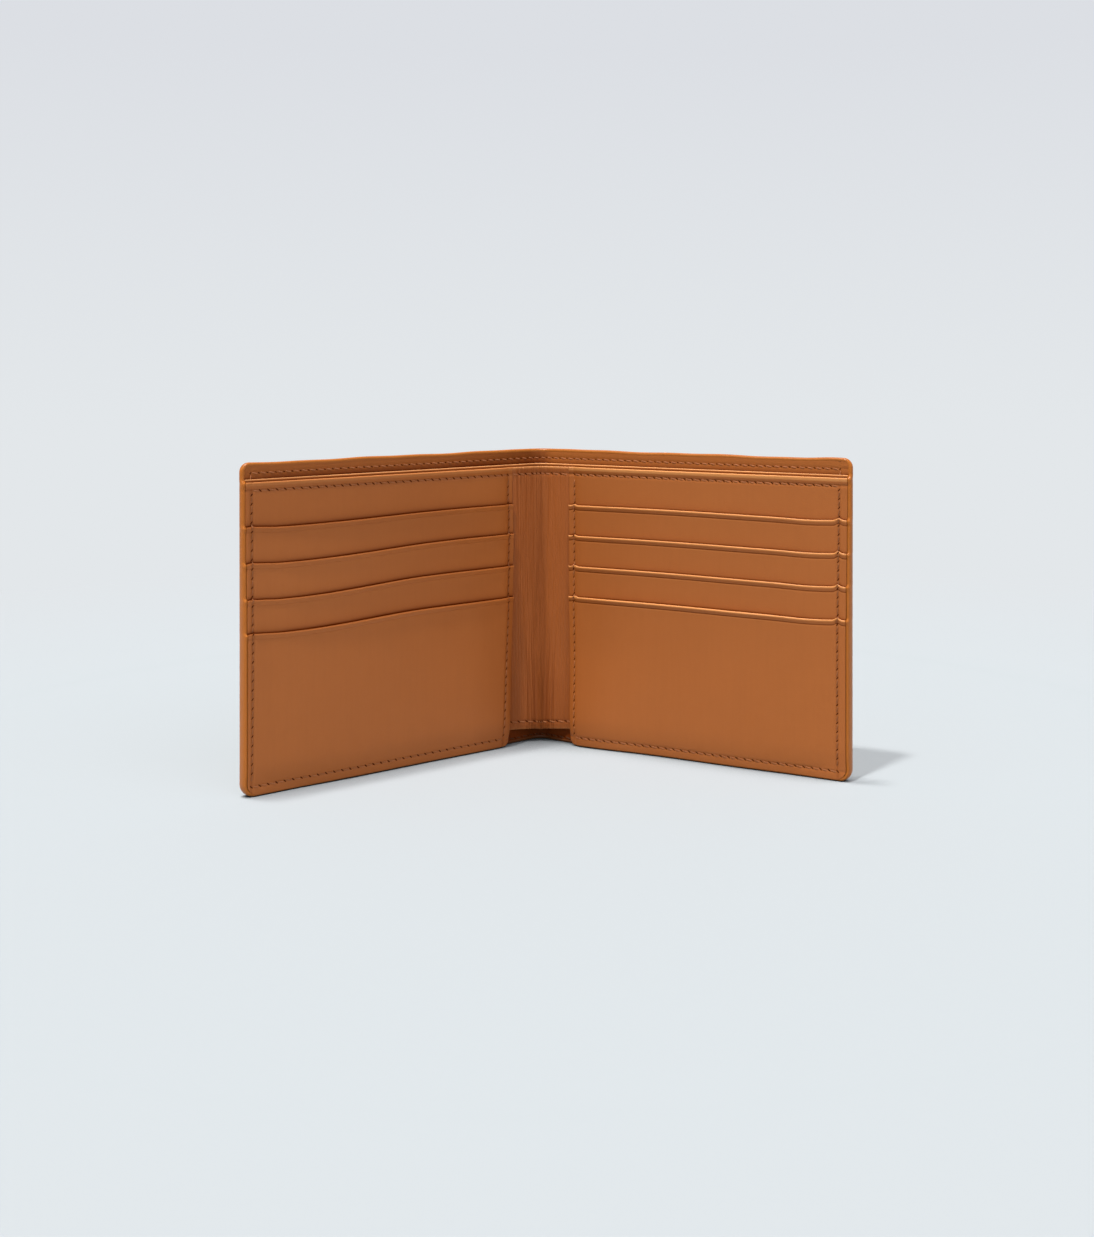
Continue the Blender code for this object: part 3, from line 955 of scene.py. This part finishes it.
def rim_path(end):
    """Stations round the rim with their outward direction: top, outer side, bottom."""
    top = np.arange(MIDDLE, end - TOP_CORNER, 0.8)
    outer = np.arange(HEIGHT - TOP_CORNER - 0.5, BOTTOM_CORNER, -0.5)
    foot = [*np.arange(end - BOTTOM_CORNER - 0.8, 9.0, -0.8), *np.arange(9.0, 3.0, -0.2),
            *np.arange(3.0, MIDDLE, -0.6), MIDDLE]
    places = [(across, HEIGHT, 0.0, 1.0) for across in top]
    places += rim_corner(end - TOP_CORNER, HEIGHT - TOP_CORNER, TOP_CORNER, np.arange(90, -1, -10))
    places += [(end, up, 1.0, 0.0) for up in outer]
    places += rim_corner(end - BOTTOM_CORNER, BOTTOM_CORNER, BOTTOM_CORNER, np.arange(0, -91, -10))
    return places + [(across, 0.0, 0.0, -1.0) for across in foot]


def rim_depth(side, across, up, way_up):
    """How deep the painted rim reaches: cover and lining alone, or the whole stack."""
    thin = LINING[1] + RIM_PROUD
    if way_up > 0.5:
        return thin
    near = np.array(min(across, 98.4))
    stack = float(visible_depth(side, near, np.array(max(up, 0.8)))) - 0.12
    if across < 14.0:
        start = STACK_START[side] + LEAN[side]
        return thin + (stack - thin) * float(smooth((across - start - 1.0) / 0.8))
    return thin + (stack - thin) * float(smooth((PANEL_TOP + 0.3 - up) / 0.8))


def hollow_shade(across, up):
    """Shade of the hollow below the centre strip."""
    return 0.8 * smooth((8.5 - across) / 2.0) * smooth((6.0 - up) / 1.6)


def rim_shade(across, up):
    """Painted shade on the rim: in the hollow under the strip, and a little along the top."""
    return np.maximum(hollow_shade(across, up), 0.15 * smooth((up - 93.6) / 0.8))


def painted_rim(side):
    """The painted edge round a half: one rounded profile that follows the rim's path."""
    nose = [(RIM_ROUND * (1.0 - math.cos(turn)), math.sin(turn)) for turn in RIM_TURNS]
    profile = RIM_OUTER + nose + RIM_INNER
    rings = []
    for across, up, way_across, way_up in rim_path(HALF_WIDTH[side]):
        deep = rim_depth(side, across, up, way_up)
        lift = float(rim_wave(side, across, up))
        ring = []
        for inset, share in profile:
            depth = deep * (1.0 + share) / 2
            ring.append((across - way_across * inset, depth, up - way_up * inset + lift))
        rings.append(ring)
    piece = sweep("painted_rim_" + SIDE_NAME[side], side, rings, EDGE_PAINT,
                  rim_shade)
    bend_at_fold(piece, side)


# ---- stitches

def row(start, end, bend=None):
    """Stitch centres and the row's direction from one end to the other."""
    start, end = np.array(start, float), np.array(end, float)
    length = np.linalg.norm(end - start)
    way = (end - start) / length
    count = max(1, round(length / STITCH_PITCH))
    places = [start + way * length * (i + 0.5) / count for i in range(count)]
    if bend is not None:
        places = [np.array([bend(spot[1]), spot[1]]) for spot in places]
    return [(spot, way) for spot in places]


# A stitch's rings along its length and round it; a hole's rings as (share of its size, height)
STITCH_SHARES = np.linspace(-1.0, 1.0, 7)
STITCH_TURNS = np.radians(np.arange(0, 360, 45))
HOLE_LEVELS = ((0.35, 0.035), (0.8, 0.028), (1.0, 0.0), (0.8, -0.06), (0.35, -0.07))
HOLE_TURNS = np.radians(np.arange(0, 360, 36))
HOLE_SIZE = (0.62, 0.20)
UPRIGHT_SHRINK = 0.1


def turned_spots(centres, ways, angle, out, off):
    """Points out along and off beside each stitch, whose way is turned from its row by the angle."""
    along = np.stack([ways[:, 0] * math.cos(angle) - ways[:, 1] * math.sin(angle),
                      ways[:, 0] * math.sin(angle) + ways[:, 1] * math.cos(angle)], axis=-1)
    beside = np.stack([-along[:, 1], along[:, 0]], axis=-1)
    return (centres[:, None, None, :] + along[:, None, None, :] * out[..., None]
            + beside[:, None, None, :] * off[..., None])


def upright_shrink(ways):
    """Stitches and holes of an upright row are a little smaller."""
    return 1.0 - UPRIGHT_SHRINK * np.abs(ways[:, 1])[:, None, None]


def stitch_tubes(ways):
    """Short arched tubes that lean across their row and dive into their holes."""
    share = STITCH_SHARES[None, :, None]
    turn = STITCH_TURNS[None, None, :]
    shrink = upright_shrink(ways)
    radius = THREAD_RADIUS * shrink * np.sqrt(1.0 - 0.45 * share ** 4)
    heights = 0.13 * shrink - 0.27 * share ** 4 + radius * 0.85 * np.sin(turn)
    return share * STITCH_LENGTH / 2 + 0.0 * turn, radius * np.cos(turn), heights


def hole_tubes(ways):
    """Awl holes: flat dark lenses that lean more than their stitches."""
    turn = HOLE_TURNS[None, None, :]
    scale, heights = [np.array(part)[None, :, None] for part in zip(*HOLE_LEVELS)]
    scale = scale * upright_shrink(ways)
    out, off = scale * HOLE_SIZE[0] * np.cos(turn), scale * HOLE_SIZE[1] * np.sin(turn)
    return out, off, heights + 0.0 * turn


def unshaded(across, up):
    return 0.0 * up


def tube_mesh(name, side, spots, heights, face, outward, material, shade):
    """Many closed tubes in one mesh, laid on a face of the leather."""
    depth = face(spots[..., 0], spots[..., 1]) + (-heights if outward else heights)
    number, count, sides = depth.shape
    across, up, depth = spots[..., 0].ravel(), spots[..., 1].ravel(), depth.ravel()
    faces = []
    for tube in range(number):
        faces += tube_faces(tube * count * sides, count, sides)
    name += "_" + SIDE_NAME[side]
    marks = (0.0 * up, shade(across, up))
    return make_object(name, side, (across, depth, up), faces, marks, material)


def seam(name, side, rows, face, nodes, shade=unshaded, outward=False, bends=True):
    """A seam's stitches and holes, laid along its rows on a face of the leather."""
    centres, ways = [np.array(part) for part in zip(*rows)]
    out, off, heights = stitch_tubes(ways)
    spots = turned_spots(centres, ways, STITCH_SLANT * side, out, off)
    threads = tube_mesh(name, side, spots, heights, face, outward, THREAD, shade)
    out, off, heights = hole_tubes(ways)
    spots = turned_spots(centres - ways * STITCH_PITCH / 2, ways, HOLE_SLANT * side, out, off)
    pits = tube_mesh(name + "_holes", side, spots, heights, face, outward, HOLE, shade)
    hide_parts(*nodes)
    for piece in (threads, pits):
        if bends:
            bend_at_fold(piece, side)
        else:
            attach(piece, SIDE_NAME[side] + "_half")


def stack_seam(side):
    """The rows that hold a pocket stack: top, outer side, bottom and beside the spine."""
    inner, outer = partial(inner_row, side), partial(outer_row, side)
    top, low = PANEL_TOP - TOP_SEAM_DROP, BOTTOM_SEAM
    rows = row((inner(top), top), (outer(top), top))
    rows += row((outer(top), top - ROW_GAP), (outer(top), low + ROW_GAP), outer)
    rows += row((outer(low), low), (inner(low), low))
    rows += row((inner(top), low + ROW_GAP), (inner(top), top - ROW_GAP), inner)

    # Painted shade on the threads of the upright rows, as on their grooves
    def shade(across, up):
        return STACK_SEAM_SHADE * column_shade(side, across, up)

    nodes = ["pocket_seam_" + SIDE_NAME[side]]
    seam("stack_seam", side, rows, partial(visible_depth, side), nodes, shade, bends=False)


def level_face(depth, across, up):
    """A leaf's face where it lies at one depth."""
    return np.full_like(up, depth)


def top_seam(side):
    """The row along the top of the lining and down beside the outer corner."""
    top, outer = HEIGHT - COVER_SEAM_DROP, OUTER_SEAM[side]
    rows = row((ROW_START, top), (outer, top))
    rows += row((outer, top - CORNER_GAP), (outer, DIVIDER_TOP - CORNER_REACH))
    nodes = ["lining_seam_" + SIDE_NAME[side], "lining_seam_spine_top"]
    face = partial(level_face, LINING[1] - SEAM_GROOVE)
    seam("top_seam", side, rows, face, nodes)


def foot_seam(side):
    """The short row along the lining's bottom behind the centre strip."""
    rows = row((ROW_START, FOOT_SEAM), (FOOT_SEAM_END, FOOT_SEAM))
    face = partial(level_face, LINING[1])
    seam("foot_seam", side, rows, face, ["lining_seam_spine_bottom"], hollow_shade)


def strip_seam(side):
    """The rows along the top and the bottom of the centre strip."""
    def face(across, up):
        return strip_depths(side, across, up)[1]

    top, low = PANEL_TOP - TOP_SEAM_DROP, STRIP_BOTTOM + TOP_SEAM_DROP
    rows = row((ROW_START, top), (STACK_START[side], top))
    for spot, way in row((ROW_START, low), (STACK_START[side] + LEAN[side], low)):
        rows.append((np.array([spot[0], strip_foot(spot[0]) + TOP_SEAM_DROP]), way))
    seam("strip_seam", side, rows, face, ["strip_seam_top", "strip_seam_bottom"])


def shell_seam(side):
    """The same rows on the cover's outer face."""
    top, outer, low = HEIGHT - COVER_SEAM_DROP, OUTER_SEAM[side], BOTTOM_SEAM
    rows = row((ROW_START, top), (outer, top))
    rows += row((outer, top - ROW_GAP), (outer, low + ROW_GAP))
    rows += row((outer, low), (ROW_START, low))
    nodes = ["cover_seam_" + SIDE_NAME[side], "cover_seam_spine_top", "cover_seam_spine_bottom"]
    face = partial(level_face, SEAM_GROOVE)
    seam("shell_seam", side, rows, face, nodes, outward=True)


for side in (-1, 1):
    cover_leaf(side)
    lining_leaf(side)
    divider_leaf(side)
    strip_leaf(side)
    panel_leaf(side)
    for number in range(1, POCKET_COUNT + 2):
        pocket_leaf(side, number)
    painted_rim(side)
    stack_seam(side)
    top_seam(side)
    foot_seam(side)
    strip_seam(side)
    shell_seam(side)


# ---- studio

# The backdrop in metres: a lit floor, and past it a cove that glows a little less higher up
BACKDROP = (0.768, 0.799, 0.823, 1.0)
BACKDROP_HIGH = (0.715, 0.737, 0.777, 1.0)
BACKDROP_TOP = 0.8
FLOOR = (0.247, 0.264, 0.270, 1.0)
FLOOR_GLOW = 0.177
FLOOR_RADIUS = 0.22
FADE_RADIUS = 0.45
STUDIO_RADIUS = 3.0
WALL_HEIGHT = 1.6
COVE_RADIUS = 1.0

# Painted shadow on the floor: its colour and glow darken close round the wallet, and on the side of it
# that faces away from LEE_WAY
CONTACT = 0.013
LEE_REACH = 0.030
LEE_WAY = (-0.69, 0.23, 0.68)
SHADE_SAMPLES = 8

# Softboxes: direction, strength, spread in degrees and colour
SOFTBOXES = {
    "key_softbox": ((-0.2545, -0.2706, 0.928), 3.43, 4.0, (1.0, 1.0, 1.0)),
    "top_softbox": ((-0.11, 0.045, 0.99), 2.75, 5.0, (1.0, 1.0, 1.0)),
    "fill_softbox": ((0.42, -0.64, 0.64), 0.72, 50.0, (1.0, 0.96, 1.15)),
}
SKY = (0.96, 0.98, 1.0, 1.0)
SKY_STRENGTH = 0.3

CAMERA_PLACE = (-28.0, -507.4, 127.0)
CAMERA_TURN = -5.45
CAMERA_LENS = 45.1
CAMERA_SENSOR = 36.0
CAMERA_SHIFT = (-0.0447, -0.2154)
CAMERA_NEAREST = 0.01


def openness(tree, inputs, low, high, darkest):
    """How open the floor is to the room, which sets its painted shadow: darkest beside the wallet, and
    1 away from it.
    """
    shade = new_node(tree, "AmbientOcclusion", inputs, samples=SHADE_SAMPLES)
    return remap(tree, shade.outputs["AO"], low, high, darkest, 1.0)


def backdrop_material():
    """Pale floor with a painted shadow round the wallet, that turns into an evenly glowing cove away
    from it.
    """
    material, tree, shader = new_material("backdrop")
    close = openness(tree, {"Distance": CONTACT}, 0.22, 0.56, 0.02)
    lee = openness(tree, {"Distance": LEE_REACH, "Normal": LEE_WAY}, 0.24, 0.64, 0.26)
    share = new_node(tree, "Math", {0: close, 1: lee}, operation="MINIMUM").outputs["Value"]
    near_glow = tuple(FLOOR_GLOW * part / BACKDROP[0] for part in BACKDROP[:3]) + (1.0,)
    feed(tree, shader, {"Base Color": mix(tree, share, BLACK, FLOOR),
                        "Emission Color": mix(tree, share, BLACK, near_glow),
                        "Emission Strength": 1.0, "Roughness": 0.9, "Specular IOR Level": 0.0})
    position = new_node(tree, "NewGeometry", {}).outputs["Position"]
    length = new_node(tree, "VectorMath", {0: position}, operation="LENGTH").outputs["Value"]
    away = remap(tree, length, FLOOR_RADIUS, FADE_RADIUS, 0.0, 1.0)
    up = new_node(tree, "SeparateXYZ", {"Vector": position}).outputs["Z"]
    tone = mix(tree, remap(tree, up, 0.0, BACKDROP_TOP, 0.0, 1.0), BACKDROP, BACKDROP_HIGH)
    cove = new_node(tree, "Emission", {"Color": tone}).outputs["Emission"]
    both = new_node(tree, "MixShader", {"Fac": away, 1: shader.outputs["BSDF"], 2: cove})
    feed(tree, tree.nodes["Material Output"], {"Surface": both.outputs["Shader"]})
    return material


def backdrop():
    """A round floor that curves up into a low wall on every side."""
    profile = [(0.0, 0.0), (FLOOR_RADIUS, 0.0), (FADE_RADIUS, 0.0), (STUDIO_RADIUS - COVE_RADIUS, 0.0)]
    for angle in np.radians(np.arange(10, 91, 10)):
        out = STUDIO_RADIUS - COVE_RADIUS + COVE_RADIUS * math.sin(angle)
        profile.append((out, COVE_RADIUS * (1.0 - math.cos(angle))))
    profile.append((STUDIO_RADIUS, WALL_HEIGHT))
    shape = bmesh.new()
    points = [shape.verts.new((out, 0.0, up)) for out, up in profile]
    edges = [shape.edges.new(pair) for pair in zip(points, points[1:])]
    bmesh.ops.spin(shape, geom=points + edges, cent=(0, 0, 0), axis=(0, 0, 1),
                   angle=2 * math.pi, steps=96, use_merge=True)
    bmesh.ops.remove_doubles(shape, verts=shape.verts, dist=1e-5)
    bmesh.ops.recalc_face_normals(shape, faces=shape.faces)
    mesh = bpy.data.meshes.new("backdrop")
    shape.to_mesh(mesh)
    shape.free()
    mesh.shade_smooth()
    mesh.materials.append(backdrop_material())
    add_object("backdrop", mesh)


def far_softbox(name, direction, strength, spread, colour):
    """A round softbox so far away that it lights everything evenly."""
    lamp = bpy.data.lights.new(name, "SUN")
    lamp.energy = strength
    lamp.color = colour
    lamp.angle = math.radians(spread)
    light = add_object(name, lamp)
    light.location = direction
    light.rotation_euler = Vector(direction).to_track_quat("Z", "Y").to_euler()


def studio():
    backdrop()
    for name, settings in SOFTBOXES.items():
        far_softbox(name, *settings)
    world = bpy.data.worlds.new("studio")
    world.use_nodes = True
    feed(world.node_tree, world.node_tree.nodes["Background"], {"Color": SKY, "Strength": SKY_STRENGTH})
    bpy.context.scene.world = world
    bpy.context.scene.view_settings.view_transform = "Standard"


def camera():
    """A level camera in front of the wallet."""
    data = bpy.data.cameras.new("camera")
    data.lens = CAMERA_LENS
    data.sensor_width = CAMERA_SENSOR
    data.shift_x, data.shift_y = CAMERA_SHIFT
    data.clip_start = CAMERA_NEAREST
    viewer = add_object("camera", data)
    x, y, z = CAMERA_PLACE
    viewer.location = (x * MM, (y + FOLD_Y) * MM, z * MM)
    viewer.rotation_euler = (math.radians(90.0), 0.0, math.radians(CAMERA_TURN))
    bpy.context.scene.camera = viewer


studio()
camera()
